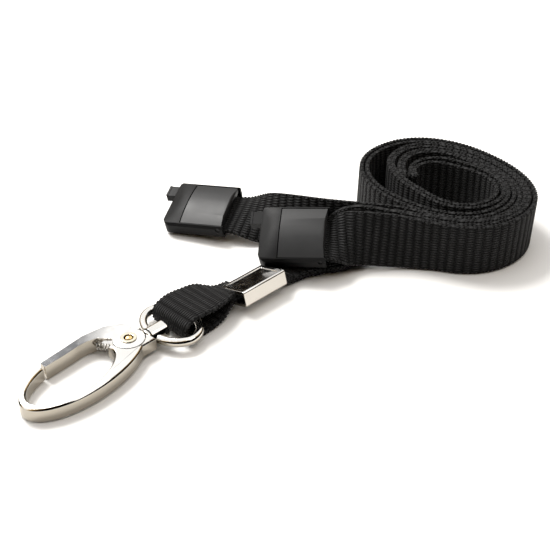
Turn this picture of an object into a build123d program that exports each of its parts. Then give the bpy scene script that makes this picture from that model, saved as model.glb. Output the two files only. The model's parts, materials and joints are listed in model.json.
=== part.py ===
from build123d import *
import math
import os

# Lanyard: a flat ribbed strap wound in a loose coil, a two-part breakaway joiner,
# and a swivelling snap hook held by a crimped loop. Millimetres, +Z up, laid on z = 0.
os.makedirs("parts", exist_ok=True)

# ---- where each group lies -------------------------------------------------------
LAYOUT_SHIFT = (-4.35, 2.55, 0.0)       # brings the laid-out lanyard's middle to x = y = 0
CLIP_ORIGIN = (-21.6, -21.9, 1.8)       # back of the hook's neck, mid thickness
CLIP_HEADING = 225.0                    # direction the hook points, from +X
CLIP_DIP = 1.0                          # the hook's far end dips on to the floor
HALF_A_ORIGIN = (-8.25, 15.74, 4.17)    # middle of the joiner half's strap end
HALF_A_ALONG = (0.95, -0.31, 0.09)      # from the half's front towards its strap
HALF_A_ACROSS = (0.28, 0.93, 0.24)
HALF_B_ORIGIN = (9.70, 2.70, 6.63)
HALF_B_ALONG = (0.99, -0.14, 0.08)
HALF_B_ACROSS = (0.09, 0.90, 0.43)

# ---- strap -----------------------------------------------------------------------
STRAP_WIDTH = 10.0
STRAP_THICKNESS = 0.8
PAIR_THICKNESS = 1.6                    # two straps lying face to face
SQUEEZED_WIDTH = 5.4                    # the strap's width where the crimp grips it
LOOP_WIDTH = 8.8
LOOP_NOSE = -5.5                        # how far the loop reaches into the swivel ring
LOOP_LOW = 0.45
LOOP_HIGH = 4.1
LOOP_BEND = 1.6
LOOP_STRAIGHT_END = -12.5               # where the loop starts to narrow to the crimp
COIL_CENTRE = (32.1, 18.4)
COIL_TILT = 128.8
COIL_LONG = 18.6                        # semi-axis of the coil's outer shape
COIL_SHORT = 14.7
COIL_DEPTH = 8.4                        # how thick the wound layers are together
SOFT_GAP = 0.3                          # kept between soft solids and their neighbours

# ---- crimp -----------------------------------------------------------------------
CRIMP_LENGTH = 10.0
CRIMP_WIDTH = 6.4
CRIMP_THICKNESS = 2.9
CRIMP_START = -18.2                     # mouth nearest the hook, along the clip axis
CRIMP_SIDE = 2.0                        # sideways offset from the clip axis
CRIMP_ROLL = 16.0
CRIMP_LIFT = 0.1                        # the strap under it holds it just off the floor
CRIMP_ROUND = 0.35
CRIMP_PANEL_DEPTH = 0.12
CRIMP_PANEL_RIM = 0.85
GRIP_GAP = 0.05                         # between the crimp's slot and the strap in it

# ---- snap hook -------------------------------------------------------------------
HOOK_THICKNESS = 2.7
HOOK_SOFTEN = 0.3
OUTER_CENTRE = (12.1, -0.6)
OUTER_LONG = 12.6
OUTER_SHORT = 6.15
INNER_CENTRE = (14.7, -0.3)
INNER_LONG = 8.5
INNER_SHORT = 4.55
OVAL_TURN = 7.0                         # both ovals lean by this much
NECK_BACK = -0.6
NECK_FRONT = 5.0
NECK_WIDTH = 4.6
PIVOT = (2.6, -0.9)
TONGUE_THICKNESS = 1.6
TONGUE_RADIUS = 2.6
EYE_RADIUS = 1.0                        # rivet shank
RIVET_HOLE_RADIUS = 0.8
FLANGE_RADIUS = 1.35
FLANGE_THICKNESS = 0.15
GATE_RADIUS = 2.7
GATE_SWING_GAP = 0.15                   # between the gate's plates and the body's steps
GATE_SIDE_GAP = 0.05                    # between the gate's plates and the tongue
GATE_PIN_GAP = 0.08                     # least space between the gate and the swivel pin
GATE_TIP = 16.6
NOSE_START = 17.0
BODY_SLOPE = 12.0                       # angle of the body's end wall under the gate
POCKET_RADIUS = 0.85
SPRING_RADIUS = 0.5                     # coil centre-line
SPRING_WIRE = 0.13
SPRING_TURNS = 5
SPRING_FOOT = (5.2, -2.2)
SPRING_TOP = (6.75, -4.55)
FIT_GAP = 0.03                          # radial clearance of pins in their holes

# ---- swivel ----------------------------------------------------------------------
RING_WIRE = 0.8
RING_LONG = 5.6                         # centre-line semi-axis across the strap
RING_SHORT = 4.1                        # centre-line semi-axis along the clip
RING_CENTRE = -5.7
BARREL_RADIUS = 1.75
BARREL_FRONT = -0.75
BARREL_BACK = -3.9
PIN_RADIUS = 0.75
PIN_SEAT = 1.2                          # depth of the pin in the hook's neck
PIN_HEAD_RADIUS = 1.25
PIN_HEAD_THICKNESS = 0.6
PIN_END_GAP = 0.06

# ---- breakaway joiner half -------------------------------------------------------
STRAP_PLAY = 0.45                       # between the strap's edge and the channel's wall
CHANNEL_WALL = 0.55
CHANNEL_WIDTH = STRAP_WIDTH + 2 * STRAP_PLAY
HALF_LENGTH = 12.4
HALF_WIDTH = CHANNEL_WIDTH + 2 * CHANNEL_WALL
HALF_THICKNESS = 3.8
HALF_FRONT_CORNER = 1.5
HALF_SOFTEN = 0.4
CROWN_TOP = 0.8                         # how far the half falls away to its long edges
CROWN_BOTTOM = 0.5
FRONT_TAPER_LENGTH = 1.5
FRONT_TAPER_DROP = 0.7
CHANNEL_LENGTH = 8.9
CHANNEL_FLOOR = -1.2
SOCKET_Y = (2.0, 5.1)
SOCKET_HEIGHT = 1.8
SOCKET_DEPTH = 3.0
PRONG_Y = (-4.9, -2.2)
PRONG_HEIGHT = 1.5
PRONG_LENGTH = 2.2
BARB_HEIGHT = 0.2
STRAP_IN_HALF = 7.5                     # how far the strap reaches into the half
STRAP_LEVEL = -0.75                     # mid-line of the strap inside the half
LID_START = 0.3
LID_END = 8.75
LID_GAP = 0.15
LID_WIDTH = CHANNEL_WIDTH - 2 * LID_GAP
LID_SINK = 0.1                          # the lid lies this far below the body's crown
LID_PLATE = 1.35
LID_ROLL = 0.9                          # rolled-over edge at the strap end
CAM_START = 0.45
CAM_END = 2.1
CAM_LOW = 0.05
TOOTH_START = 4.2
TOOTH_PITCH = 1.5
TOOTH_COUNT = 3
TOOTH_SIZE = 0.5
HINGE_X = 1.0
HINGE_Z = 0.45
TRUNNION_RADIUS = 0.4
TRUNNION_REACH = HALF_WIDTH / 2 - 0.2

# Plan of the gate: the fairing round the pivot, then the arm. Outer edge, then inner.
GATE_OUTER = [(0.15, -3.3), (0.9, -4.9), (3.7, -6.4), (7.7, -6.85), (12.8, -6.3), (16.6, -5.95)]
GATE_INNER = [(16.6, -4.59), (12.4, -4.85), (9.6, -5.15), (7.9, -5.1), (6.3, -4.6), (5.0, -3.2)]
ARM_START = 5.6                         # the gate is full height beyond this


# Strap stations on the free stretches: centre, direction across the strap (and width).
ON_EDGE = STRAP_WIDTH / 2                # mid level of a strap that stands on its edge
PAIR_IN_CRIMP = (CRIMP_LENGTH / 2 - 0.4, -CRIMP_LENGTH / 2 - 0.3)
PAIR_FREE = [
    ((0.95, -2.45, 0.95), (-0.70, 0.70, -0.05), 5.4),
    ((1.9, -0.5, 0.85), (-0.65, 0.76, 0.0), 6.5),
    ((4.3, 2.5, 1.75), (-0.55, 0.80, 0.20), 9.4),
    ((8.0, 4.4, 2.75), (-0.42, 0.80, 0.36), STRAP_WIDTH),
    ((11.0, 4.45, 3.25), (-0.32, 0.82, 0.46), 9.0),
    ((13.8, 6.2, ON_EDGE - 0.05), (-0.10, 0.43, 0.90), STRAP_WIDTH),
    ((21.2, 5.15, ON_EDGE + 0.05), (0.0, 0.30, 0.95), STRAP_WIDTH),
    ((28.3, 3.1, ON_EDGE), (0.0, 0.0, 1.0), STRAP_WIDTH),
]
TAIL_A_FREE = [
    ((-0.2, 12.6, ON_EDGE - 0.55), (0.05, 0.60, 0.80)),
    ((9.0, 9.6, ON_EDGE), (0.0, 0.25, 0.97)),
    ((16.0, 8.2, ON_EDGE), (0.0, 0.20, 0.98)),
    ((22.0, 6.75, ON_EDGE), (0.0, 0.28, 0.96)),
    ((28.0, 4.2, ON_EDGE), (0.0, 0.0, 1.0)),
]
TAIL_B_FREE = [
    ((13.8, 3.05, 6.05), (0.15, 0.57, 0.80)),
    ((21.1, 3.4, ON_EDGE + 0.2), (0.0, 0.33, 0.94)),
    ((28.3, 1.6, ON_EDGE + 0.05), (0.0, 0.0, 1.0)),
]


def clip_plane(dip=CLIP_DIP, height=CLIP_ORIGIN[2]):
    """Plane of the clip: X towards the hook's far end, Z up."""
    heading = math.radians(CLIP_HEADING)
    slope = math.radians(dip)
    x_dir = (math.cos(heading) * math.cos(slope), math.sin(heading) * math.cos(slope), -math.sin(slope))
    z_dir = (math.cos(heading) * math.sin(slope), math.sin(heading) * math.sin(slope), math.cos(slope))
    return Plane(origin=(CLIP_ORIGIN[0], CLIP_ORIGIN[1], height), x_dir=x_dir, z_dir=z_dir)


def half_plane(origin, along, across):
    """Plane of a joiner half: X towards its front, Z out of its lid."""
    x_dir = Vector(along).normalized() * -1
    side = Vector(across).normalized()
    z_dir = (side * -1).cross(x_dir).normalized() * -1
    return Plane(origin=origin, x_dir=x_dir, z_dir=z_dir)


def block(x_range, y_range, z_range):
    """Box given by its limits."""
    size = [high - low for low, high in (x_range, y_range, z_range)]
    middle = [(high + low) / 2 for low, high in (x_range, y_range, z_range)]
    return Pos(*middle) * Box(*size)


def rod(radius, start, end):
    """Cylinder along X between two stations."""
    return Pos((start + end) / 2, 0, 0) * Rot(0, 90, 0) * Cylinder(radius, end - start)


def strip(stations, thickness):
    """Flat band lofted through stations of (centre, width direction, width)."""
    sections = []
    for index, (centre, across, width) in enumerate(stations):
        before = Vector(stations[max(index - 1, 0)][0])
        after = Vector(stations[min(index + 1, len(stations) - 1)][0])
        side = Vector(across).normalized()
        along = after - before
        facing = along - side * along.dot(side)
        plane = Plane(origin=centre, x_dir=side, z_dir=facing.normalized())
        sections.append(plane * Rectangle(width, thickness))
    return loft(sections, ruled=True)


def oval(centre, long_axis, short_axis):
    """Leaning oval of the hook's plan."""
    return Pos(centre[0], centre[1]) * Rot(0, 0, OVAL_TURN) * Ellipse(long_axis, short_axis)


# ---- snap hook -------------------------------------------------------------------
def gate_fairing():
    """Plan of the whole gate, pivot disc included."""
    outline = Polyline(*GATE_OUTER, *GATE_INNER, PIVOT, close=True)
    return make_face(outline) + Pos(*PIVOT) * Circle(GATE_RADIUS)


def hook_body():
    """Flat open hook with a neck, a thin tongue under the gate and a bore for the pin."""
    half = HOOK_THICKNESS / 2
    neck_y = (-NECK_WIDTH / 2, NECK_WIDTH / 2)
    neck = Pos((NECK_BACK + NECK_FRONT) / 2, 0) * Rectangle(NECK_FRONT - NECK_BACK, NECK_WIDTH)
    plan = oval(OUTER_CENTRE, OUTER_LONG, OUTER_SHORT) + neck
    plan -= oval(INNER_CENTRE, INNER_LONG, INNER_SHORT)
    reach = NOSE_START - PIVOT[0]
    drop = math.tan(math.radians(BODY_SLOPE)) * reach
    window = Polyline(
        PIVOT,
        (PIVOT[0] + reach, PIVOT[1] - drop),
        (PIVOT[0] + reach, -OUTER_LONG),
        (NECK_BACK, -OUTER_LONG),
        (NECK_BACK, neck_y[0]),
        close=True,
    )
    disc = Pos(*PIVOT) * Circle(TONGUE_RADIUS)
    plan -= make_face(window)
    body = extrude(plan, amount=half, both=True)
    body = chamfer(body.edges().filter_by(Plane.XY), HOOK_SOFTEN)
    body += extrude(disc, amount=TONGUE_THICKNESS / 2, both=True)
    relief = Pos(*PIVOT) * Cylinder(GATE_RADIUS + GATE_SWING_GAP, half)
    lift = TONGUE_THICKNESS / 2 + half / 2
    body -= Pos(0, 0, lift) * relief
    body -= Pos(0, 0, -lift) * relief
    body -= Pos(*PIVOT) * Cylinder(EYE_RADIUS + FIT_GAP, HOOK_THICKNESS)
    body -= rod(PIN_RADIUS + FIT_GAP, NECK_BACK, NECK_BACK + PIN_SEAT)
    return body


def hook_gate():
    """Sprung gate: two plates over the tongue, joined by a full-height arm."""
    half = HOOK_THICKNESS / 2
    plan = gate_fairing()
    gate = extrude(plan, amount=half, both=True)
    gap = TONGUE_THICKNESS / 2 + GATE_SIDE_GAP
    gate -= block((NECK_BACK - 2, ARM_START), (-OUTER_LONG, OUTER_LONG), (-gap, gap))
    pocket = spring_line(SPRING_FOOT, SPRING_TOP, POCKET_RADIUS)
    gate -= pocket
    gate -= Pos(*PIVOT) * Cylinder(EYE_RADIUS + FIT_GAP, HOOK_THICKNESS)
    return gate - rod(PIN_RADIUS + GATE_PIN_GAP, -PIN_SEAT, PIN_SEAT + GATE_PIN_GAP)


def spring_line(foot, top, radius):
    """Cylinder between two points of the gate's mid plane."""
    dx = top[0] - foot[0]
    dy = top[1] - foot[1]
    length = math.hypot(dx, dy)
    place = Plane(origin=(foot[0], foot[1], 0), z_dir=(dx, dy, 0))
    return place * Pos(0, 0, length / 2) * Cylinder(radius, length)


def gate_spring():
    """Small compression spring between the body and the pocket in the gate."""
    dx = SPRING_TOP[0] - SPRING_FOOT[0]
    dy = SPRING_TOP[1] - SPRING_FOOT[1]
    length = math.hypot(dx, dy) - 2 * SPRING_WIRE - 2 * FIT_GAP
    pitch = length / SPRING_TURNS
    path = Helix(pitch=pitch, height=length, radius=SPRING_RADIUS)
    section = Plane(origin=path @ 0, z_dir=path % 0) * Circle(SPRING_WIRE)
    coil = sweep(section, path=path)
    place = Plane(origin=(SPRING_FOOT[0], SPRING_FOOT[1], 0), z_dir=(dx, dy, 0))
    return place * Pos(0, 0, SPRING_WIRE + FIT_GAP) * coil


def gate_rivet():
    """Hollow eyelet that the gate turns on."""
    half = HOOK_THICKNESS / 2
    height = HOOK_THICKNESS + 2 * FLANGE_THICKNESS + 2 * FIT_GAP
    eyelet = Cylinder(EYE_RADIUS, height)
    for side in (-1, 1):
        level = side * (half + FIT_GAP + FLANGE_THICKNESS / 2)
        eyelet += Pos(0, 0, level) * Cylinder(FLANGE_RADIUS, FLANGE_THICKNESS)
    eyelet -= Cylinder(RIVET_HOLE_RADIUS, height)
    return Pos(*PIVOT) * eyelet


# ---- swivel ----------------------------------------------------------------------
def swivel_ring():
    """Oval wire ring with the barrel that the pin turns in."""
    ring = rod(BARREL_RADIUS, BARREL_BACK, BARREL_FRONT)
    for start in (0, 180):
        middle = (RING_CENTRE, 0)
        path = EllipticalCenterArc(middle, RING_SHORT, RING_LONG, start, arc_size=180)
        section = Plane(origin=path @ 0, z_dir=path % 0) * Circle(RING_WIRE)
        ring += sweep(section, path=path)
    ring -= rod(PIN_RADIUS + FIT_GAP, BARREL_BACK - 1, BARREL_FRONT + 1)
    return ring


def swivel_pin():
    """Headed pin from the hook's neck through the barrel."""
    front = NECK_BACK + PIN_SEAT - PIN_END_GAP
    back = BARREL_BACK - PIN_END_GAP
    pin = rod(PIN_RADIUS, back, front)
    pin += rod(PIN_HEAD_RADIUS, back - PIN_HEAD_THICKNESS, back)
    rim = pin.edges().filter_by(GeomType.CIRCLE).sort_by(Axis.X)[0]
    return fillet(rim, PIN_HEAD_THICKNESS * 0.7)


# ---- crimp -----------------------------------------------------------------------
def crimp_plane():
    """Plane at the crimp's middle, X along the clip axis, rolled about it."""
    flat = clip_plane(dip=0.0, height=0.0)
    roll = math.radians(CRIMP_ROLL)
    rise = CRIMP_WIDTH / 2 * math.sin(roll) + CRIMP_THICKNESS / 2 * math.cos(roll)
    middle = CRIMP_START - CRIMP_LENGTH / 2
    return Plane(flat * Pos(middle, CRIMP_SIDE, rise + CRIMP_LIFT) * Rot(CRIMP_ROLL, 0, 0))


def crimp():
    """Folded clamp, closed round the two straps, with a sunk panel on top."""
    shell = Box(CRIMP_LENGTH, CRIMP_WIDTH, CRIMP_THICKNESS)
    shell = fillet(shell.edges().filter_by(Axis.X), CRIMP_ROUND)
    panel = Box(
        CRIMP_LENGTH - 2 * CRIMP_PANEL_RIM,
        CRIMP_WIDTH - 2 * CRIMP_PANEL_RIM,
        2 * CRIMP_PANEL_DEPTH,
    )
    shell -= Pos(0, 0, CRIMP_THICKNESS / 2) * panel
    slot_width = SQUEEZED_WIDTH + 2 * GRIP_GAP
    slot_height = PAIR_THICKNESS + 2 * GRIP_GAP
    shell -= Box(CRIMP_LENGTH, slot_width, slot_height)
    return shell


# ---- breakaway joiner ------------------------------------------------------------
def half_blank():
    """Cushion-shaped block: crowned across its width and tapered at its front."""
    half = HALF_THICKNESS / 2
    wide = HALF_WIDTH / 2
    over = ThreePointArc((-wide, half - CROWN_TOP), (0, half), (wide, half - CROWN_TOP))
    under = ThreePointArc((wide, CROWN_BOTTOM - half), (0, -half), (-wide, CROWN_BOTTOM - half))
    section = make_face(over + Line(over @ 1, under @ 0) + under + Line(under @ 1, over @ 0))
    blank = extrude(Plane.YZ * section, amount=HALF_LENGTH)
    blank = chamfer(blank.edges().filter_by(Axis.X), HALF_SOFTEN)
    front = blank.edges().filter_by(Axis.Z).group_by(Axis.X)[-1]
    blank = fillet(front, HALF_FRONT_CORNER)
    shoulder = HALF_LENGTH - FRONT_TAPER_LENGTH
    side = Polyline(
        (0, -half),
        (shoulder, -half),
        (HALF_LENGTH, FRONT_TAPER_DROP - half),
        (HALF_LENGTH, half - FRONT_TAPER_DROP),
        (shoulder, half),
        (0, half),
        close=True,
    )
    return blank & extrude(Plane.XZ * make_face(side), amount=wide, both=True)


def half_body():
    """Genderless half: channel for the strap and lid, socket and prong at the front."""
    half = HALF_THICKNESS / 2
    body = half_blank()
    chan = CHANNEL_WIDTH / 2
    body -= block((0, CHANNEL_LENGTH), (-chan, chan), (CHANNEL_FLOOR, half))
    tall = SOCKET_HEIGHT / 2
    body -= block((HALF_LENGTH - SOCKET_DEPTH, HALF_LENGTH), SOCKET_Y, (-tall, tall))
    high = PRONG_HEIGHT / 2
    tip = HALF_LENGTH + PRONG_LENGTH
    body += block((HALF_LENGTH - 1, tip), PRONG_Y, (-high, high))
    body += block((tip - 2 * BARB_HEIGHT, tip), PRONG_Y, (high, high + BARB_HEIGHT / 2))
    hole = Pos(HINGE_X, 0, HINGE_Z) * Rot(90, 0, 0)
    return body - hole * Cylinder(TRUNNION_RADIUS + FIT_GAP, HALF_WIDTH)


def half_lid():
    """Clamping lid with cam, teeth and trunnions."""
    wide = LID_WIDTH / 2
    top = HALF_THICKNESS / 2 - LID_SINK
    under = top - LID_PLATE
    plate = block((LID_START, LID_END), (-wide, wide), (under, top))
    strap_end = plate.edges().group_by(Axis.Z)[-1].sort_by(Axis.X)[0]
    plate = fillet(strap_end, LID_ROLL) & Pos(0, 0, -LID_SINK) * half_blank()
    lid = plate + block((CAM_START, CAM_END), (-wide, wide), (CAM_LOW, under))
    for index in range(TOOTH_COUNT):
        start = TOOTH_START + index * TOOTH_PITCH
        lid += block((start, start + TOOTH_SIZE), (-wide, wide), (under - TOOTH_SIZE, under))
    axle = Pos(HINGE_X, 0, HINGE_Z) * Rot(90, 0, 0)
    return lid + axle * Cylinder(TRUNNION_RADIUS, 2 * TRUNNION_REACH)


# ---- strap -----------------------------------------------------------------------
def coil_oval(grow):
    """Plan of the coil's outer shape, grown by a margin."""
    ring = Ellipse(COIL_LONG + grow, COIL_SHORT + grow)
    return Pos(*COIL_CENTRE) * Rot(0, 0, COIL_TILT) * ring


def strap_coil():
    """Outer shape of the wound layers, one closed solid standing on the floor."""
    return extrude(coil_oval(0) - coil_oval(-COIL_DEPTH), amount=STRAP_WIDTH)


def tail_start(plane):
    """Stations of the straight stretch of strap held inside a joiner half."""
    side = plane.y_dir * -1
    points = [plane.from_local_coords(Vector(x, 0, STRAP_LEVEL)) for x in (STRAP_IN_HALF, -1.2)]
    return [(tuple(point), tuple(side), STRAP_WIDTH) for point in points]


def strap_tail(plane, free):
    """Strap from a joiner half to the coil, stopping clear of the coil's outer shape."""
    stations = tail_start(plane) + [(centre, side, STRAP_WIDTH) for centre, side in free]
    band = strip(stations, STRAP_THICKNESS)
    return band - extrude(coil_oval(SOFT_GAP), amount=2 * STRAP_WIDTH, both=True)


def strap_pair():
    """The two straps lying together, from the crimp's middle to the coil."""
    crimp_at = crimp_plane()
    side = tuple(crimp_at.y_dir)
    ends = [crimp_at.from_local_coords(Vector(x, 0, 0)) for x in PAIR_IN_CRIMP]
    stations = [(tuple(point), side, SQUEEZED_WIDTH) for point in ends] + PAIR_FREE
    band = strip(stations, PAIR_THICKNESS)
    return band - extrude(coil_oval(SOFT_GAP), amount=2 * STRAP_WIDTH, both=True)


def strap_loop():
    """Strap folded through the swivel ring, both legs narrowing into the crimp."""
    flat = clip_plane(dip=0.0, height=0.0)
    inner_end = LOOP_STRAIGHT_END
    line = FilletPolyline(
        (inner_end, LOOP_LOW),
        (LOOP_NOSE, LOOP_LOW),
        (LOOP_NOSE, LOOP_HIGH),
        (inner_end, LOOP_HIGH),
        radius=LOOP_BEND,
    )
    band = extrude(Plane.XZ * trace(line, STRAP_THICKNESS), amount=LOOP_WIDTH / 2, both=True)
    nose = flat * band
    crimp_at = crimp_plane()
    mouth = CRIMP_LENGTH / 2
    legs = []
    for level, lift in ((LOOP_LOW, -1), (LOOP_HIGH, 1)):
        offset = lift * (PAIR_THICKNESS - STRAP_THICKNESS) / 2
        start = flat.from_local_coords(Vector(inner_end, 0, level))
        end = crimp_at.from_local_coords(Vector(mouth + GRIP_GAP, 0, offset))
        stations = [
            (tuple(start), tuple(flat.y_dir), LOOP_WIDTH),
            (tuple(end), tuple(crimp_at.y_dir), SQUEEZED_WIDTH),
        ]
        legs.append(strip(stations, STRAP_THICKNESS))
    return nose + legs[0] + legs[1]


clip_at = clip_plane()
half_a = half_plane(HALF_A_ORIGIN, HALF_A_ALONG, HALF_A_ACROSS)
half_b = half_plane(HALF_B_ORIGIN, HALF_B_ALONG, HALF_B_ACROSS)

nodes = {
    "hook_body": clip_at * hook_body(),
    "hook_gate": clip_at * hook_gate(),
    "gate_rivet": clip_at * gate_rivet(),
    "gate_spring": clip_at * gate_spring(),
    "swivel_ring": clip_at * swivel_ring(),
    "swivel_pin": clip_at * swivel_pin(),
    "crimp": crimp_plane() * crimp(),
    "strap_loop": strap_loop(),
    "strap_pair": strap_pair(),
    "strap_tail_a": strap_tail(half_a, TAIL_A_FREE),
    "strap_tail_b": strap_tail(half_b, TAIL_B_FREE),
    "strap_coil": strap_coil(),
    "half_a_body": half_a * half_body(),
    "half_a_lid": half_a * half_lid(),
    "half_b_body": half_b * half_body(),
    "half_b_lid": half_b * half_lid(),
}

for name, shape in nodes.items():
    placed = Pos(*LAYOUT_SHIFT) * shape
    placed.label = name
    export_step(placed, f"parts/{name}.step")
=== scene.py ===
import bmesh
import bpy
import json
import math
import numpy as np
from mathutils import Matrix, Vector


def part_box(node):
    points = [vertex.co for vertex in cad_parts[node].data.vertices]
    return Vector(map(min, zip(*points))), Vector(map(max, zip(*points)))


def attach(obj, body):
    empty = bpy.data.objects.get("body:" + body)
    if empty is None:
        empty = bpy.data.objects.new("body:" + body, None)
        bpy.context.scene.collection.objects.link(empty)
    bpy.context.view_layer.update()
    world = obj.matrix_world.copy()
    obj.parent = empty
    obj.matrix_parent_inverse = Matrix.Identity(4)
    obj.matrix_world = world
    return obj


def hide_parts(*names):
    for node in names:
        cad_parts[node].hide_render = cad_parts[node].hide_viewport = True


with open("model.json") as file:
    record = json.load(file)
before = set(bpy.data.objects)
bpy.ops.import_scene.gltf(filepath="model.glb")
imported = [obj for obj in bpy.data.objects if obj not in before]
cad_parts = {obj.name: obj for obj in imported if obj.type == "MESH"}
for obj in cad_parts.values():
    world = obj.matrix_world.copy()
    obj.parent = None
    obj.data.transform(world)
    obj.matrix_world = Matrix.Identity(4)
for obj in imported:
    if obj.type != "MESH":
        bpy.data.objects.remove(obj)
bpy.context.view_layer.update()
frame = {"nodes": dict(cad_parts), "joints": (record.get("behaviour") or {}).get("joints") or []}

# ---- Table top, light and camera ---------------------------------------------------
# A white sweep under a large soft light from behind and to the left. The room in front
# of the table is dim and warm, which is what the polished metal mirrors at its edges.
MM = 0.001
FLOOR_REACH = 3.0
FLOOR_WHITE = (0.93, 0.925, 0.915, 1)
bpy.context.scene.view_settings.view_transform = "Standard"
bpy.context.scene.view_settings.look = "None"


def put(tree, kind, inputs=None, **settings):
    """Adds a node. inputs maps a socket's name or number to a value or to an output."""
    node = tree.nodes.new(kind)
    for key, value in settings.items():
        setattr(node, key, value)
    for key, value in (inputs or {}).items():
        if isinstance(value, bpy.types.NodeSocket):
            tree.links.new(value, node.inputs[key])
        else:
            node.inputs[key].default_value = value
    return node


def sums(tree, operation, a, b=0.0, c=0.0):
    """Output of one Math node."""
    return put(tree, "ShaderNodeMath", {0: a, 1: b, 2: c}, operation=operation).outputs[0]


def new_material(name, roughness, metallic=0.0):
    """A node material with its Principled shader, ready for wiring."""
    material = bpy.data.materials.new(name)
    material.use_nodes = True
    shader = material.node_tree.nodes["Principled BSDF"]
    shader.inputs["Roughness"].default_value = roughness
    shader.inputs["Metallic"].default_value = metallic
    return material, material.node_tree, shader


def add_object(name, data):
    """Links a new object at the origin."""
    made = bpy.data.objects.new(name, data)
    bpy.context.scene.collection.objects.link(made)
    return made


table_mesh = bpy.data.meshes.new("table_top")
table_corners = [(x * FLOOR_REACH, y * FLOOR_REACH, 0) for x, y in ((-1, -1), (1, -1), (1, 1), (-1, 1))]
table_mesh.from_pydata(table_corners, [], [(0, 1, 2, 3)])
table_top = add_object("table_top", table_mesh)
paper, paper_tree, paper_shader = new_material("white_paper", 0.9)
paper_shader.inputs["Base Color"].default_value = FLOOR_WHITE
paper_shader.inputs["Specular IOR Level"].default_value = 0.1
paper_grain = put(paper_tree, "ShaderNodeTexNoise", {"Scale": 900.0, "Detail": 3.0})
paper_bump = put(paper_tree, "ShaderNodeBump",
                 {"Strength": 0.02, "Distance": 0.0001, "Height": paper_grain.outputs["Fac"]})
paper_tree.links.new(paper_bump.outputs["Normal"], paper_shader.inputs["Normal"])
table_mesh.materials.append(paper)

room = bpy.data.worlds.new("studio")
bpy.context.scene.world = room
room.use_nodes = True
sky = room.node_tree
facing = put(sky, "ShaderNodeSeparateXYZ", {0: put(sky, "ShaderNodeTexCoord").outputs["Generated"]})
overhead = put(sky, "ShaderNodeMapRange", {0: facing.outputs["Z"], 1: 0.20, 2: 0.42})
rearward = sums(sky, "MULTIPLY_ADD", facing.outputs["Y"], 0.9, facing.outputs["Z"])
rearward = sums(sky, "MULTIPLY_ADD", facing.outputs["X"], -0.6, rearward)
rear_glow = put(sky, "ShaderNodeMapRange", {0: rearward, 1: 0.15, 2: 0.75})
glow = sums(sky, "MULTIPLY", overhead.outputs[0], rear_glow.outputs[0])
sky_ramp = put(sky, "ShaderNodeValToRGB", {0: glow})
for spot, tint in ((0.0, (0.022, 0.018, 0.014, 1)), (0.3, (0.10, 0.06, 0.025, 1)),
                   (0.55, (0.80, 0.56, 0.27, 1)), (0.75, (1.0, 1.0, 1.0, 1))):
    sky_ramp.color_ramp.elements.new(spot).color = tint
background = sky.nodes["Background"]
sky.links.new(sky_ramp.outputs[0], background.inputs["Color"])
background.inputs["Strength"].default_value = 1.25


def soft_light(name, place, size, power, colour):
    """A square area light aimed at the middle of the table."""
    lamp = bpy.data.lights.new(name, "AREA")
    lamp.size = size
    lamp.energy = power
    lamp.color = colour
    holder = add_object(name, lamp)
    holder.location = place
    holder.rotation_mode = "QUATERNION"
    holder.rotation_quaternion = (-Vector(place)).to_track_quat("-Z", "Y")


soft_light("key_light", (-0.22, 0.24, 0.42), 0.22, 3.6, (1.0, 0.985, 0.96))
soft_light("fill_light", (0.30, -0.10, 0.50), 0.30, 0.5, (1.0, 0.97, 0.93))

CAMERA_HEIGHT = 112.9 * MM
CAMERA_DIP = 34.0
AIM = (-4.35 * MM, 2.55 * MM)
lens = bpy.data.cameras.new("camera")
lens.lens = 72.0
lens.sensor_width = 36.0
lens.clip_start = 0.01
camera = add_object("camera", lens)
camera.location = (AIM[0], AIM[1] - CAMERA_HEIGHT / math.tan(math.radians(CAMERA_DIP)), CAMERA_HEIGHT)
camera.rotation_euler = (math.radians(90 - CAMERA_DIP), 0, 0)
bpy.context.scene.camera = camera

# ---- Snap hook ---------------------------------------------------------------------
# A die-cast hook, nickel plated and polished. Its flat faces meet the tall side walls
# in a narrow rolled edge, and the plating carries fine handling marks.
HOOK_EDGE = 0.24 * MM
SAME_POINT = 0.002 * MM
SAME_PLANE = math.radians(0.8)
NICKEL = (0.82, 0.80, 0.765, 1)

marks = bpy.data.node_groups.new("handling_marks", "ShaderNodeTree")
for label, default in (("Scale", 600.0), ("Least", 0.08), ("Most", 0.2)):
    socket = marks.interface.new_socket(label, in_out="INPUT", socket_type="NodeSocketFloat")
    socket.default_value = default
for label in ("Roughness", "Height"):
    marks.interface.new_socket(label, in_out="OUTPUT", socket_type="NodeSocketFloat")
marks_in = put(marks, "NodeGroupInput")
place = put(marks, "ShaderNodeTexCoord").outputs["Object"]
smears = put(marks, "ShaderNodeTexNoise",
             {"Vector": place, "Scale": marks_in.outputs["Scale"], "Detail": 4.0, "Roughness": 0.6})
long_way = put(marks, "ShaderNodeMapping",
               {"Vector": place, "Rotation": (0.0, 0.0, 0.8), "Scale": (1.0, 14.0, 14.0)})
hairlines = put(marks, "ShaderNodeTexNoise",
                {"Vector": long_way.outputs[0], "Scale": marks_in.outputs["Scale"], "Detail": 2.0})
mixed = sums(marks, "MULTIPLY", smears.outputs["Fac"], hairlines.outputs["Fac"])
ranged = put(marks, "ShaderNodeMapRange",
             {0: mixed, 1: 0.12, 2: 0.42, 3: marks_in.outputs["Least"], 4: marks_in.outputs["Most"]})
marks_out = put(marks, "NodeGroupOutput")
marks.links.new(ranged.outputs[0], marks_out.inputs["Roughness"])
marks.links.new(hairlines.outputs["Fac"], marks_out.inputs["Height"])


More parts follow.
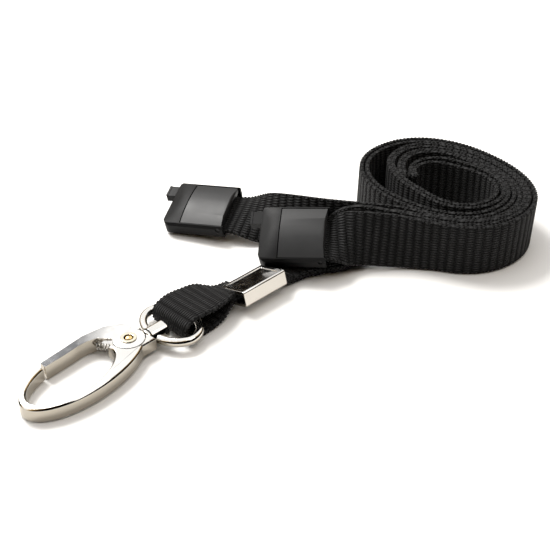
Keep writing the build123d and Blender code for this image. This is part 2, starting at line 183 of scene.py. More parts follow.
def marked(tree, shader, scale, least, most, depth):
    """Gives a shader the handling marks, in its roughness and as a faint bump."""
    group = put(tree, "ShaderNodeGroup", node_tree=marks)
    for label, value in (("Scale", scale), ("Least", least), ("Most", most)):
        group.inputs[label].default_value = value
    bump = put(tree, "ShaderNodeBump",
               {"Strength": 0.25, "Distance": depth, "Height": group.outputs["Height"]})
    tree.links.new(group.outputs["Roughness"], shader.inputs["Roughness"])
    tree.links.new(bump.outputs["Normal"], shader.inputs["Normal"])


def plated(name, colour, scale, least, most, painted_wall_shade=(0.40, 0.365, 0.31, 1)):
    """Plating that is bright on the flat faces, with a darker painted shade in the base colour of upright
    walls, standing in for the shaded floor they mirror.
    """
    material, tree, shader = new_material(name, most, 1.0)
    marked(tree, shader, scale, least, most, 0.000003)
    upward = put(tree, "ShaderNodeSeparateXYZ", {0: put(tree, "ShaderNodeNewGeometry").outputs["Normal"]})
    flatness = put(tree, "ShaderNodeMapRange",
                   {0: sums(tree, "ABSOLUTE", upward.outputs["Z"]), 1: 0.15, 2: 0.5})
    spot = put(tree, "ShaderNodeTexCoord").outputs["Object"]
    cloud = put(tree, "ShaderNodeTexNoise", {"Vector": spot, "Scale": 180.0, "Detail": 2.0})
    duller = tuple(0.9 * part for part in colour[:3]) + (1,)
    tone = put(tree, "ShaderNodeMix", {0: cloud.outputs["Fac"], 6: duller, 7: colour}, data_type="RGBA")
    # Upright walls take the painted shade: a darker base colour in place of the shaded floor they reflect.
    both = put(tree, "ShaderNodeMix", {0: flatness.outputs[0], 6: painted_wall_shade, 7: tone.outputs[2]}, data_type="RGBA")
    tree.links.new(both.outputs[2], shader.inputs["Base Color"])
    return material


def eased(node, name, body, edge, material, corner=35.0, steps=3):
    """Stands in for a CAD node: the same solid with its doubles merged and its edges rolled over."""
    shell = bmesh.new()
    shell.from_mesh(frame["nodes"][node].data)
    bmesh.ops.remove_doubles(shell, verts=shell.verts, dist=SAME_POINT)
    bmesh.ops.dissolve_limit(shell, angle_limit=SAME_PLANE, verts=shell.verts, edges=shell.edges)
    data = bpy.data.meshes.new(name)
    shell.to_mesh(data)
    shell.free()
    draft = add_object(name + "_draft", data)
    roll = draft.modifiers.new("rolled_edge", "BEVEL")
    roll.width = edge
    roll.segments = steps
    roll.limit_method = "ANGLE"
    roll.angle_limit = math.radians(corner)
    roll.use_clamp_overlap = True
    weigh = draft.modifiers.new("flat_faces", "WEIGHTED_NORMAL")
    weigh.weight = 100
    for face in data.polygons:
        face.use_smooth = True
    made = bpy.data.meshes.new_from_object(draft.evaluated_get(bpy.context.evaluated_depsgraph_get()))
    bpy.data.objects.remove(draft)
    made.materials.clear()
    made.materials.append(material)
    piece = add_object(name, made)
    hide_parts(node)
    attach(piece, body)


# Like every plated part, the hook's upright walls carry the painted wall shade.
nickel = plated("polished_nickel", NICKEL, 520.0, 0.07, 0.17)
eased("hook_body", "cast_hook", "hook", HOOK_EDGE, nickel)

# ---- Gate, eyelet and spring -------------------------------------------------------
# The gate is folded from sheet over the hook's tongue and turns on a hollow eyelet. A
# small coil spring in its pocket closes it against the hook's nose.
GATE_EDGE = 0.14 * MM
EYELET_EDGE = 0.06 * MM
BRIGHT_WITHIN = 3.5 * MM
PAINTED_DARK_BEYOND = 8.5 * MM
PEEN_RADIUS = 0.62 * MM
PEEN_RISE = 0.3 * MM
PEEN_SINK = 0.22 * MM
# The gate's material carries a painted reflection: a dark tone on the arm's upper face.
gate_nickel = plated("gate_nickel_painted_top", (0.80, 0.785, 0.76, 1), 760.0, 0.10, 0.24)
gate_joint = next(joint for joint in frame["joints"] if joint["name"] == "gate_pivot")
gate_tree = gate_nickel.node_tree
gate_shader = gate_tree.nodes["Principled BSDF"]
# The arm's upper face turns dark with distance from the pivot: a painted reflection in its base colour,
# standing in for the dark surroundings it mirrors, with random streaks in it.
polished_tone = gate_shader.inputs["Base Color"].links[0].from_socket
from_pivot = put(gate_tree, "ShaderNodeVectorMath",
                 {0: put(gate_tree, "ShaderNodeTexCoord").outputs["Object"], 1: tuple(gate_joint["pos_m"])},
                 operation="DISTANCE")
along_arm = put(gate_tree, "ShaderNodeMapRange",
                {0: from_pivot.outputs["Value"], 1: BRIGHT_WITHIN, 2: PAINTED_DARK_BEYOND})
arm_facing = put(gate_tree, "ShaderNodeSeparateXYZ",
                 {0: put(gate_tree, "ShaderNodeNewGeometry").outputs["Normal"]})
arm_top = put(gate_tree, "ShaderNodeMapRange", {0: arm_facing.outputs["Z"], 1: 0.35, 2: 0.6})
painted_dark_top = sums(gate_tree, "MULTIPLY", along_arm.outputs[0], arm_top.outputs[0])
painted_reflection_streaks = put(gate_tree, "ShaderNodeTexNoise", {"Scale": 1500.0, "Detail": 3.0})
painted_reflection_tone = put(gate_tree, "ShaderNodeMix",
                 {0: painted_reflection_streaks.outputs["Fac"], 6: (0.05, 0.052, 0.057, 1), 7: (0.26, 0.26, 0.265, 1)},
                 data_type="RGBA")
arm_tone = put(gate_tree, "ShaderNodeMix", {0: painted_dark_top, 6: polished_tone, 7: painted_reflection_tone.outputs[2]},
               data_type="RGBA")
gate_tree.links.new(arm_tone.outputs[2], gate_shader.inputs["Base Color"])
eased("hook_gate", "folded_gate", "gate", GATE_EDGE, gate_nickel)
eyelet_nickel = plated("eyelet_nickel", (0.84, 0.77, 0.62, 1), 900.0, 0.08, 0.16)
eased("gate_rivet", "hollow_eyelet", "hook", EYELET_EDGE, eyelet_nickel)
eyelet_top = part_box("gate_rivet")[1].z
peened = bmesh.new()
bmesh.ops.create_uvsphere(
    peened, u_segments=32, v_segments=16, radius=1.0,
    matrix=Matrix.Translation((gate_joint["pos_m"][0], gate_joint["pos_m"][1], eyelet_top - PEEN_SINK))
    @ Matrix.Diagonal((PEEN_RADIUS, PEEN_RADIUS, PEEN_RISE, 1.0)))
for round_face in peened.faces:
    round_face.smooth = True
peen_mesh = bpy.data.meshes.new("peened_centre")
peened.to_mesh(peen_mesh)
peened.free()
brass = plated("peened_brass", (0.80, 0.58, 0.28, 1), 900.0, 0.12, 0.2)
peen_mesh.materials.append(brass)
peened_centre = add_object("peened_centre", peen_mesh)
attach(peened_centre, "hook")

# The spring wire's base colour is darkened as painted shade, standing in for the shade in the gate's pocket.
SPRING_PAINTED_SHADE = (0.40, 0.385, 0.36, 1)
spring_wire, spring_tree, spring_shader = new_material("spring_wire", 0.3, 1.0)
spring_shader.inputs["Base Color"].default_value = SPRING_PAINTED_SHADE
marked(spring_tree, spring_shader, 1500.0, 0.22, 0.4, 0.000002)
spring = frame["nodes"]["gate_spring"]
spring.data.materials.clear()
spring.data.materials.append(spring_wire)

# ---- Swivel ------------------------------------------------------------------------
# An oval wire ring cast in one with its barrel. The hook's headed pin turns in it, and a
# plain round collar stands at the hook's neck, next to the barrel.
RING_EDGE = 0.10 * MM
PIN_EDGE = 0.08 * MM
swivel_nickel = plated("swivel_nickel", (0.80, 0.78, 0.74, 1), 640.0, 0.06, 0.15)
eased("swivel_ring", "oval_swivel_ring", "ring", RING_EDGE, swivel_nickel)
eased("swivel_pin", "headed_swivel_pin", "hook", PIN_EDGE, swivel_nickel)

COLLAR_RADIUS = 1.7 * MM
COLLAR_LENGTH = 0.55 * MM
COLLAR_AHEAD = 1.98 * MM
COLLAR_EDGE = 0.16 * MM
swivel_joint = next(joint for joint in frame["joints"] if joint["name"] == "hook_swivel")
swivel_axis = Vector(swivel_joint["axis"])
collar_seat = Vector(swivel_joint["pos_m"]) + swivel_axis * COLLAR_AHEAD
collar_turn = swivel_axis.to_track_quat("Z", "Y").to_matrix().to_4x4()
collar_shell = bmesh.new()
bmesh.ops.create_cone(collar_shell, cap_ends=True, segments=64, radius1=COLLAR_RADIUS, radius2=COLLAR_RADIUS,
                      depth=COLLAR_LENGTH, matrix=Matrix.Translation(collar_seat) @ collar_turn)
collar_rims = [edge for edge in collar_shell.edges if any(len(face.verts) > 4 for face in edge.link_faces)]
bmesh.ops.bevel(collar_shell, geom=collar_rims, offset=COLLAR_EDGE, segments=4, affect="EDGES", profile=0.5)
for round_face in collar_shell.faces:
    round_face.smooth = len(round_face.verts) == 4
collar_mesh = bpy.data.meshes.new("neck_collar")
collar_shell.to_mesh(collar_mesh)
collar_shell.free()
collar_mesh.materials.append(swivel_nickel)
neck_collar = add_object("neck_collar", collar_mesh)
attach(neck_collar, "hook")

# ---- Crimp -------------------------------------------------------------------------
# A strip of plated sheet folded flat round both layers of strap and pressed shut, with
# a shallow sunk panel on its upper face.
CRIMP_EDGE = 0.12 * MM
crimp_nickel = plated("crimp_nickel", (0.74, 0.725, 0.70, 1), 480.0, 0.07, 0.18)
eased("crimp", "folded_crimp", "strap_and_joiner", CRIMP_EDGE, crimp_nickel)

# ---- Breakaway joiner --------------------------------------------------------------
# Two alike halves moulded in black acetal. The bodies have a fine spark-eroded grain;
# the lids come from a smoother tool and show the rub of fingers.
JOINER_BLACK = (0.006, 0.006, 0.0062, 1)
LID_BLACK = (0.010, 0.010, 0.0103, 1)
BODY_EDGE = 0.3 * MM
LID_EDGE = 0.14 * MM


def moulded(name, colour, grain_scale, least, most, depth, gloss):
    """Black moulded plastic with tool grain and slightly paler rubbed spots."""
    material, tree, shader = new_material(name, most)
    shader.inputs["IOR"].default_value = 1.49
    shader.inputs["Specular IOR Level"].default_value = gloss
    spot = put(tree, "ShaderNodeTexCoord").outputs["Object"]
    grain = put(tree, "ShaderNodeTexNoise", {"Vector": spot, "Scale": grain_scale, "Detail": 3.0})
    rub = put(tree, "ShaderNodeTexNoise", {"Vector": spot, "Scale": 260.0, "Detail": 3.0})
    paler = tuple(1.5 * part for part in colour[:3]) + (1,)
    tone = put(tree, "ShaderNodeMix", {0: rub.outputs["Fac"], 6: colour, 7: paler}, data_type="RGBA")
    shine = put(tree, "ShaderNodeMapRange", {0: rub.outputs["Fac"], 1: 0.3, 2: 0.7, 3: least, 4: most})
    bump = put(tree, "ShaderNodeBump", {"Strength": 0.5, "Distance": depth, "Height": grain.outputs["Fac"]})
    tree.links.new(tone.outputs[2], shader.inputs["Base Color"])
    tree.links.new(shine.outputs[0], shader.inputs["Roughness"])
    tree.links.new(bump.outputs["Normal"], shader.inputs["Normal"])
    return material


body_plastic = moulded("grained_black_acetal", JOINER_BLACK, 5200.0, 0.40, 0.50, 0.00003, 0.11)
lid_plastic = moulded("smooth_black_acetal", LID_BLACK, 3600.0, 0.34, 0.42, 0.000006, 0.22)
for side in ("a", "b"):
    eased(f"half_{side}_body", f"joiner_{side}_body", "strap_and_joiner",
          BODY_EDGE, body_plastic)
    eased(f"half_{side}_lid", f"joiner_{side}_lid", f"lid_of_half_{side}",
          LID_EDGE, lid_plastic)

# ---- Strap -------------------------------------------------------------------------
# One woven polyester strap, 10 mm wide, with ribs across it and a bound edge of small
# stitches. It runs from one joiner half round the coil, back through the crimp and the
# swivel ring, and the same way to the other half, so it is made as two runs and a loop.
WIDTH = 10.0 * MM
THICK = 0.8 * MM
STEP = 0.25 * MM
RIB_PITCH = 1.55 * MM
coil_low, coil_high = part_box("strap_coil")
COIL_MIDDLE = (coil_low + coil_high) / 2
COIL_ORIGIN = Vector((COIL_MIDDLE.x, COIL_MIDDLE.y, 0)) / MM
# The coil's outline is a slightly squared oval: its half lengths in mm, the turn of its
# long axis, its squareness, and the bearing at which the strap enters it.
COIL_SEMI = (19.67, 15.69)
COIL_TURN = 128.4
COIL_POWER = 2.15
COIL_START = 256.6
TURN_STEP = 0.02
LAYER_STATIONS = 87
EDGE_WAVER = 0.12
LEAN_WAVER = 0.03
FOLD_REACH = 0.75
# Inset of each layer from the coil's outline, in mm, against turns from the entry.
OUTER_LAYER = ((0, .45), (.15, .6), (.3, 1.4), (.5, 1.75), (.7, 2.5), (.86, 2.7), (1.0, 3.9), (1.1, 4.4),
               (1.27, 5.1), (1.39, 5.6), (1.5, 6.1), (1.61, 8.0), (1.68, 9.9), (1.75, 10.8))
SECOND_LAYER = ((0, 1.37), (.15, 1.52), (.3, 2.3), (.5, 2.7), (.7, 3.9), (.86, 4.0), (1.0, 4.85), (1.1, 5.35),
                (1.27, 6.05), (1.39, 6.55), (1.5, 7.1), (1.61, 9.0), (1.68, 10.9), (1.75, 11.75))
THIRD_LAYER = ((0, 2.3), (.15, 2.45), (.3, 3.25), (.5, 3.7), (.57, 4.4), (.65, 6.6), (.74, 8.7), (.84, 8.4),
               (.94, 8.0), (1.05, 7.4), (1.15, 7.0), (1.27, 7.0), (1.39, 7.5), (1.5, 9.0), (1.61, 11.4),
               (1.68, 12.4), (1.75, 12.75))
INNER_LAYER = ((0, 3.2), (.15, 3.4), (.3, 4.2), (.5, 4.8), (.6, 6.3), (.67, 8.2), (.74, 9.8), (.87, 9.6),
               (1.01, 9.3), (1.1, 8.6), (1.2, 8.1), (1.28, 8.0), (1.38, 8.8), (1.5, 10.9), (1.61, 13.0),
               (1.68, 13.6), (1.75, 13.65))
UPRIGHT = (0.0, 0.0, 1.0)


def hermite(before, after, slope_before, slope_after, gap, t):
    """Smooth value between two known ones, t from 0 to 1 of the gap."""
    return ((2 * t**3 - 3 * t**2 + 1) * before + (t**3 - 2 * t**2 + t) * gap * slope_before
            + (3 * t**2 - 2 * t**3) * after + (t**3 - t**2) * gap * slope_after)


def eased_table(table, at):
    """Smooth value of a table of (place, value) at some place."""
    xs = np.array([row[0] for row in table], float)
    ys = np.array([row[1] for row in table], float)
    slopes = np.gradient(ys, xs)
    index = int(np.clip(np.searchsorted(xs, at) - 1, 0, len(xs) - 2))
    gap = xs[index + 1] - xs[index]
    return hermite(ys[index], ys[index + 1], slopes[index], slopes[index + 1], gap, (at - xs[index]) / gap)


def wound(layer, height, wave):
    """Stations of one layer of the coil, from the entry to its inner fold."""
    stations = []
    for count in range(1, LAYER_STATIONS + 1):
        turn = TURN_STEP * count
        angle = math.radians(COIL_START + 360 * turn)
        lean = angle - math.radians(COIL_TURN)
        reach = ((abs(math.cos(lean)) / COIL_SEMI[0]) ** COIL_POWER
                 + (abs(math.sin(lean)) / COIL_SEMI[1]) ** COIL_POWER) ** (-1 / COIL_POWER)
        radius = reach - eased_table(layer, turn)
        rise = height + EDGE_WAVER * math.sin(wave + 5.1 * turn) * min(1.0, 4 * turn)
        tip = LEAN_WAVER * math.sin(2 * wave + 7.3 * turn)
        across = (tip * math.cos(angle), tip * math.sin(angle), 1.0)
        stations.append(((radius * math.cos(angle), radius * math.sin(angle), rise), across, 1.0))
    return stations


def folded_back(going, coming):
    """Joins two layers by a tight fold at the coil's inner end."""
    a, b = np.array(going[-1][0]), np.array(coming[-1][0])
    before = np.array(going[-2][0])
    ahead = (a - before) / np.linalg.norm(a - before)
    apex = (a + b) / 2 + FOLD_REACH * ahead
    return going + [(tuple(apex), UPRIGHT, 1.0)] + coming[::-1]


def shifted(stations, offset):
    """Stations moved along the strap's face by an offset in mm."""
    moved = []
    for index, (centre, across, width) in enumerate(stations):
        ahead = np.array(stations[min(index + 1, len(stations) - 1)][0]) - stations[max(index - 1, 0)][0]
        face = np.cross(ahead, across)
        face /= np.linalg.norm(face)
        moved.append((tuple(np.array(centre) + offset * face), across, width))
    return moved


def run_of(stations):
    """Centre line, width direction and width share at even steps along smooth stations."""
    points = np.array([row[0] for row in stations], float) * MM
    sides = np.array([row[1] for row in stations], float)
    sides /= np.linalg.norm(sides, axis=1)[:, None]
    shares = np.array([row[2] for row in stations], float)[:, None]
    rows = np.hstack([points, sides, shares])
    chord = np.concatenate([[0], np.cumsum(np.linalg.norm(np.diff(points, axis=0), axis=1))])
    slopes = np.gradient(rows, chord, axis=0)
    fine = []
    for index in range(len(chord) - 1):
        gap = chord[index + 1] - chord[index]
        for t in np.linspace(0, 1, max(2, int(gap / (STEP / 3))), endpoint=False):
            fine.append(hermite(rows[index], rows[index + 1], slopes[index], slopes[index + 1], gap, t))
    fine = np.array(fine + [rows[-1]])
    along = np.concatenate([[0], np.cumsum(np.linalg.norm(np.diff(fine[:, :3], axis=0), axis=1))])
    at = np.arange(0, along[-1], STEP)
    even = np.stack([np.interp(at, along, fine[:, k]) for k in range(7)], axis=1)
    return even[:, :3], even[:, 3:6], even[:, 6], at


# Places across the strap, as shares of its half width, and its thickness there. The
# stitches follow the two places just inside the edges.
STITCH_LINE = 0.96
SECTION = (-1.0, -STITCH_LINE, -0.85, -0.6, -0.3, 0.0, 0.3, 0.6, 0.85, STITCH_LINE, 1.0)
SECTION_FULL = (0.0, 0.75, 1.0, 1.0, 1.0, 1.0, 1.0, 1.0, 1.0, 0.75, 0.0)


def woven_band(name, stations):
    """A closed flat band with the attributes that the weaving tree and the weave read."""
    centre, across, share, along = run_of(stations)
    ahead = np.gradient(centre, axis=0)
    ahead /= np.linalg.norm(ahead, axis=1)[:, None]
    across -= ahead * (across * ahead).sum(1)[:, None]
    across /= np.linalg.norm(across, axis=1)[:, None]
    face = np.cross(ahead, across)
    loop = [(u, h) for u, h in zip(SECTION, SECTION_FULL)]
    loop += [(u, -h) for u, h in list(zip(SECTION, SECTION_FULL))[-2:0:-1]]
    size = len(loop)
    verts, faces_attr, along_attr, edge_attr, side_attr = [], [], [], [], []
    for u, h in loop:
        verts.append(centre + across * (u * WIDTH / 2 * share)[:, None] + face * (h * THICK / 2))
        faces_attr.append(face * h)
        along_attr.append(along)
        edge_attr.append(np.full(len(along), abs(u) == STITCH_LINE))
        side_attr.append(np.full(len(along), u * WIDTH / 2))
    count = len(along)
    verts = np.stack(verts, axis=1).reshape(-1, 3)
    quads = []
    for row in range(count - 1):
        for col in range(size):
            after = (col + 1) % size
            quads.append((row * size + col, row * size + after,
                          (row + 1) * size + after, (row + 1) * size + col))
    quads.append(tuple(range(size - 1, -1, -1)))
    quads.append(tuple((count - 1) * size + col for col in range(size)))
    mesh = bpy.data.meshes.new(name)
    mesh.from_pydata(verts, [], quads)
    for label, kind, values in (("face", "FLOAT_VECTOR", np.stack(faces_attr, axis=1)),
                                ("along", "FLOAT", np.stack(along_attr, axis=1)),
                                ("side", "FLOAT", np.stack(side_attr, axis=1)),
                                ("rim", "FLOAT", np.stack(edge_attr, axis=1).astype(float))):
        attribute = mesh.attributes.new(label, kind, "POINT")
        attribute.data.foreach_set("vector" if kind == "FLOAT_VECTOR" else "value", values.ravel())
    layer = mesh.uv_layers.new(name="weave")
    corner_vert = np.zeros(len(mesh.loops), int)
    mesh.loops.foreach_get("vertex_index", corner_vert)
    flat = np.stack([np.stack(side_attr, axis=1).ravel(), np.stack(along_attr, axis=1).ravel()], axis=1)
    layer.data.foreach_set("uv", flat[corner_vert].ravel())
    for polygon in mesh.polygons:
        polygon.use_smooth = True
    shell = bmesh.new()
    shell.from_mesh(mesh)
    bmesh.ops.recalc_face_normals(shell, faces=shell.faces)
    shell.to_mesh(mesh)
    shell.free()
    return add_object(name, mesh), along[-1]


# The loom: ribs pressed into both faces, and a row of bound stitches along each edge.
loom = bpy.data.node_groups.new("ribbed_webbing", "GeometryNodeTree")
loom.is_modifier = True
loom.interface.new_socket("Geometry", in_out="INPUT", socket_type="NodeSocketGeometry")
LOOM_SIZES = (("Rib Pitch", RIB_PITCH), ("Rib Height", 0.10 * MM),
              ("Stitch Pitch", 0.78 * MM), ("Stitch Length", 0.27 * MM), ("Stitch Width", 0.16 * MM))
for label, default in LOOM_SIZES:
    socket = loom.interface.new_socket(label, in_out="INPUT", socket_type="NodeSocketFloat")
    socket.default_value = default
loom.interface.new_socket("Cloth", in_out="INPUT", socket_type="NodeSocketMaterial")
loom.interface.new_socket("Thread", in_out="INPUT", socket_type="NodeSocketMaterial")
loom.interface.new_socket("Geometry", in_out="OUTPUT", socket_type="NodeSocketGeometry")
given = put(loom, "NodeGroupInput")
along_now = put(loom, "GeometryNodeInputNamedAttribute", {"Name": "along"}, data_type="FLOAT").outputs[0]
face_now = put(loom, "GeometryNodeInputNamedAttribute", {"Name": "face"}, data_type="FLOAT_VECTOR").outputs[0]
rim_now = put(loom, "GeometryNodeInputNamedAttribute", {"Name": "rim"}, data_type="FLOAT").outputs[0]
turns = sums(loom, "DIVIDE", along_now, given.outputs["Rib Pitch"])
swell = sums(loom, "ABSOLUTE", sums(loom, "SINE", sums(loom, "MULTIPLY", turns, math.pi)))
swell = sums(loom, "SUBTRACT", swell, 0.7)
height_now = sums(loom, "MULTIPLY", swell, given.outputs["Rib Height"])
pushed = put(loom, "ShaderNodeVectorMath", {0: face_now, "Scale": height_now}, operation="SCALE")
ribbed = put(loom, "GeometryNodeSetPosition",
             {"Geometry": given.outputs["Geometry"], "Offset": pushed.outputs[0]})
is_rim = put(loom, "FunctionNodeCompare", {0: rim_now, 1: 0.99}, data_type="FLOAT", operation="GREATER_THAN")
rims = put(loom, "GeometryNodeSeparateGeometry",
           {"Geometry": given.outputs["Geometry"], "Selection": is_rim.outputs[0]}, domain="POINT")
rim_lines = put(loom, "GeometryNodeMeshToCurve", {"Mesh": rims.outputs["Selection"]})
seats = put(loom, "GeometryNodeResampleCurve",
            {"Curve": rim_lines.outputs[0], "Length": given.outputs["Stitch Pitch"]}, mode="LENGTH")
heading = put(loom, "FunctionNodeAlignRotationToVector",
              {"Vector": put(loom, "GeometryNodeInputTangent").outputs[0]}, axis="X")
stitch_size = put(loom, "ShaderNodeCombineXYZ",
                  {0: given.outputs["Stitch Length"], 1: given.outputs["Stitch Width"],
                   2: given.outputs["Stitch Width"]})
bead = put(loom, "GeometryNodeMeshIcoSphere", {"Radius": 1.0, "Subdivisions": 1})
smooth_bead = put(loom, "GeometryNodeSetShadeSmooth", {"Geometry": bead.outputs[0]})
stitches = put(loom, "GeometryNodeInstanceOnPoints",
               {"Points": seats.outputs[0], "Instance": smooth_bead.outputs[0],
                "Rotation": heading.outputs[0], "Scale": stitch_size.outputs[0]})
stitches = put(loom, "GeometryNodeRealizeInstances", {"Geometry": stitches.outputs[0]})
dressed = put(loom, "GeometryNodeSetMaterial",
              {"Geometry": ribbed.outputs[0], "Material": given.outputs["Cloth"]})
threaded = put(loom, "GeometryNodeSetMaterial",
               {"Geometry": stitches.outputs[0], "Material": given.outputs["Thread"]})
whole = put(loom, "GeometryNodeJoinGeometry")
loom.links.new(threaded.outputs[0], whole.inputs[0])
loom.links.new(dressed.outputs[0], whole.inputs[0])
loom_out = put(loom, "NodeGroupOutput")
loom.links.new(whole.outputs[0], loom_out.inputs[0])

weave = bpy.data.node_groups.new("rib_weave", "ShaderNodeTree")
for label, default in (("Rib Pitch", RIB_PITCH), ("Yarn Pitch", 0.52 * MM)):
    socket = weave.interface.new_socket(label, in_out="INPUT", socket_type="NodeSocketFloat")
    socket.default_value = default
for label in ("Crest", "Height"):
    weave.interface.new_socket(label, in_out="OUTPUT", socket_type="NodeSocketFloat")
weave_in = put(weave, "NodeGroupInput")
laid = put(weave, "ShaderNodeSeparateXYZ", {0: put(weave, "ShaderNodeUVMap", uv_map="weave").outputs[0]})
rib_turn = sums(weave, "DIVIDE", laid.outputs["Y"], weave_in.outputs["Rib Pitch"])
rib_wave = sums(weave, "ABSOLUTE", sums(weave, "SINE", sums(weave, "MULTIPLY", rib_turn, math.pi)))
row = sums(weave, "FLOOR", rib_turn)
wander = put(weave, "ShaderNodeTexNoise",
             {"Vector": put(weave, "ShaderNodeUVMap", uv_map="weave").outputs[0],
              "Scale": 900.0, "Detail": 2.0})
yarn_turn = sums(weave, "DIVIDE", laid.outputs["X"], weave_in.outputs["Yarn Pitch"])
yarn_turn = sums(weave, "MULTIPLY_ADD", row, 0.5, yarn_turn)
yarn_turn = sums(weave, "MULTIPLY_ADD", wander.outputs["Fac"], 0.5, yarn_turn)
yarn_wave = sums(weave, "ABSOLUTE", sums(weave, "SINE", sums(weave, "MULTIPLY", yarn_turn, math.pi)))
crest = sums(weave, "MULTIPLY", rib_wave, sums(weave, "POWER", yarn_wave, 0.7))
fuzz = put(weave, "ShaderNodeTexNoise",
           {"Vector": put(weave, "ShaderNodeTexCoord").outputs["Object"], "Scale": 5200.0, "Detail": 2.0})
height_out = sums(weave, "MULTIPLY_ADD", fuzz.outputs["Fac"], 0.3, crest)
weave_out = put(weave, "NodeGroupOutput")
weave.links.new(crest, weave_out.inputs["Crest"])
weave.links.new(height_out, weave_out.inputs["Height"])


def yarn_material(name, dark, light, depth):
    """Black polyester yarn with a painted highlight mixed into its base colour on the crest of each stitch,
    patchy across the strap.
    """
    material, tree, shader = new_material(name, 0.72)
    shader.inputs["Sheen Weight"].default_value = 0.03
    shader.inputs["Sheen Roughness"].default_value = 0.4
    shader.inputs["Specular IOR Level"].default_value = 0.16
    group = put(tree, "ShaderNodeGroup", node_tree=weave)
    spot = put(tree, "ShaderNodeTexCoord").outputs["Object"]
    fade = put(tree, "ShaderNodeTexNoise", {"Vector": spot, "Scale": 420.0, "Detail": 4.0})
    # The paler crest is a painted highlight, not the yarn's own colour.
    peak = sums(tree, "POWER", group.outputs["Crest"], 2.2)
    lit = sums(tree, "MULTIPLY", peak, sums(tree, "MULTIPLY", fade.outputs["Fac"], 1.3))
    tone = put(tree, "ShaderNodeMix", {0: lit, 6: dark, 7: light}, data_type="RGBA")
    bump = put(tree, "ShaderNodeBump",
               {"Strength": 1.0, "Distance": depth, "Height": group.outputs["Height"]})
    tree.links.new(tone.outputs[2], shader.inputs["Base Color"])
    tree.links.new(bump.outputs["Normal"], shader.inputs["Normal"])
    return material


# The second, paler colour of each is the painted highlight on the crests.
cloth = yarn_material("black_ribbed_webbing", (0.0010, 0.0010, 0.0011, 1), (0.042, 0.042, 0.043, 1), 0.00035)
thread = yarn_material("black_edge_stitching", (0.02, 0.02, 0.0205, 1), (0.20, 0.196, 0.186, 1), 0.00004)


def strap_piece(name, stations, nodes):
    """Weaves one stretch of strap and stands it in for its CAD solids."""
    placed = [(tuple(Vector(centre) + COIL_ORIGIN), across, width) for centre, across, width in stations]
    draft, length = woven_band(name + "_draft", placed)
    weaving = draft.modifiers.new("loom", "NODES")
    weaving.node_group = loom
    for item in loom.interface.items_tree:
        if item.in_out == "INPUT" and item.name in ("Cloth", "Thread"):
            weaving[item.identifier] = cloth if item.name == "Cloth" else thread
    depsgraph = bpy.context.evaluated_depsgraph_get()
    made = bpy.data.meshes.new_from_object(draft.evaluated_get(depsgraph))
    bpy.data.objects.remove(draft)
    made.name = name
    piece = add_object(name, made)
    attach(piece, "strap_and_joiner")
    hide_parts(*nodes)


# Stations of the free stretches, in mm from the coil's middle: centre, the direction
# across the strap, and the share of its full width.
CRIMPED = 0.54
GATHERED = 0.88
PAIR_OFFSET = 0.42
PAIR = [
    ((-41.0, -27.6, 2.4), (-0.68, 0.68, -0.28), CRIMPED),
    ((-36.0, -25.2, 2.4), (-0.68, 0.68, -0.28), CRIMPED),
    ((-32.5, -21.7, 2.35), (-0.68, 0.68, -0.28), CRIMPED),
    ((-31.1, -20.0, 1.4), (-0.70, 0.70, -0.05), 0.58),
    ((-27.8, -15.9, 1.95), (-0.55, 0.80, 0.20), 0.94),
    ((-24.1, -14.0, 2.75), (-0.42, 0.80, 0.36), 1.0),
    ((-21.1, -14.0, 3.35), (-0.30, 0.82, 0.46), 0.96),
    ((-18.3, -12.2, 5.05), (-0.10, 0.43, 0.90), 1.0),
    ((-10.9, -13.25, 5.25), (0.0, 0.30, 0.95), 1.0),
]
TAIL_A = [
    ((-45.9, -0.65, 2.95), (0.28, 0.93, 0.24), 1.0),
    ((-41.9, -1.97, 3.24), (0.28, 0.93, 0.24), 1.0),
    ((-39.1, -2.88, 3.5), (0.28, 0.93, 0.24), 1.0),
    ((-32.3, -5.8, 4.45), (0.05, 0.60, 0.80), 1.0),
    ((-23.1, -8.8, 5.15), (0.0, 0.25, 0.97), 1.0),
    ((-16.1, -10.2, 5.25), (0.0, 0.20, 0.98), 1.0),
    ((-10.1, -11.65, 5.28), (0.0, 0.28, 0.96), 1.0),
]
TAIL_B = [
    ((-28.2, -14.55, 5.5), (0.09, 0.90, 0.43), 1.0),
    ((-21.1, -15.56, 6.05), (0.09, 0.90, 0.43), 1.0),
    ((-18.3, -15.35, 6.05), (0.15, 0.57, 0.80), 1.0),
    ((-11.0, -15.0, 5.35), (0.0, 0.33, 0.94), 1.0),
]
outer = wound(OUTER_LAYER, 5.32, 0.0)
second = wound(SECOND_LAYER, 5.28, 1.3)
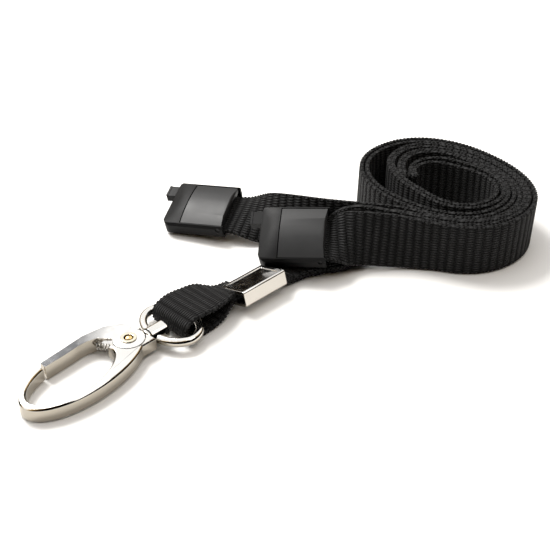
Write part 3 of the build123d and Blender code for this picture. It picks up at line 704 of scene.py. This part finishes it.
third = wound(THIRD_LAYER, 5.36, 2.4)
inner = wound(INNER_LAYER, 5.28, 4.1)
run_b = TAIL_B + folded_back(outer, second) + shifted(PAIR, PAIR_OFFSET)[::-1]
run_a = TAIL_A + folded_back(inner, third) + shifted(PAIR, -PAIR_OFFSET)[::-1]
strap_piece("strap_run_to_half_b", run_b, ["strap_tail_b", "strap_pair"])
strap_piece("strap_run_to_half_a", run_a, ["strap_tail_a", "strap_coil"])

# The loop: up over the swivel ring's bar and back, gathered into the crimp.
tilt_joint = next(joint for joint in frame["joints"] if joint["name"] == "ring_tilt")
BAR = Vector(tilt_joint["pos_m"]) / MM - COIL_ORIGIN
TOWARDS_HOOK = Vector((-math.sqrt(0.5), -math.sqrt(0.5), 0))
ACROSS_CLIP = (-math.sqrt(0.5), math.sqrt(0.5), 0.0)


def at_bar(ahead, height):
    """A point in the clip's upright plane: mm past the ring's bar, and its height."""
    spot = BAR + TOWARDS_HOOK * ahead
    return (spot.x, spot.y, height)


LOOP = [
    (at_bar(-11.0, 1.8), (-0.68, 0.68, -0.28), CRIMPED),
    (at_bar(-8.2, 1.5), (-0.69, 0.69, -0.2), 0.56),
    (at_bar(-4.5, 0.95), ACROSS_CLIP, 0.80),
    (at_bar(-2.0, 0.66), ACROSS_CLIP, GATHERED),
    (at_bar(2.6, 0.66), ACROSS_CLIP, GATHERED),
    (at_bar(4.0, 1.1), ACROSS_CLIP, GATHERED),
    (at_bar(4.3, 2.3), ACROSS_CLIP, GATHERED),
    (at_bar(4.0, 3.5), ACROSS_CLIP, GATHERED),
    (at_bar(2.8, 4.1), ACROSS_CLIP, GATHERED),
    (at_bar(-2.0, 4.1), ACROSS_CLIP, GATHERED),
    (at_bar(-4.5, 3.9), ACROSS_CLIP, 0.80),
    (at_bar(-8.2, 2.9), (-0.69, 0.69, -0.2), 0.56),
    (at_bar(-11.0, 2.7), (-0.68, 0.68, -0.28), CRIMPED),
]
strap_piece("strap_loop_through_ring", LOOP, ["strap_loop"])
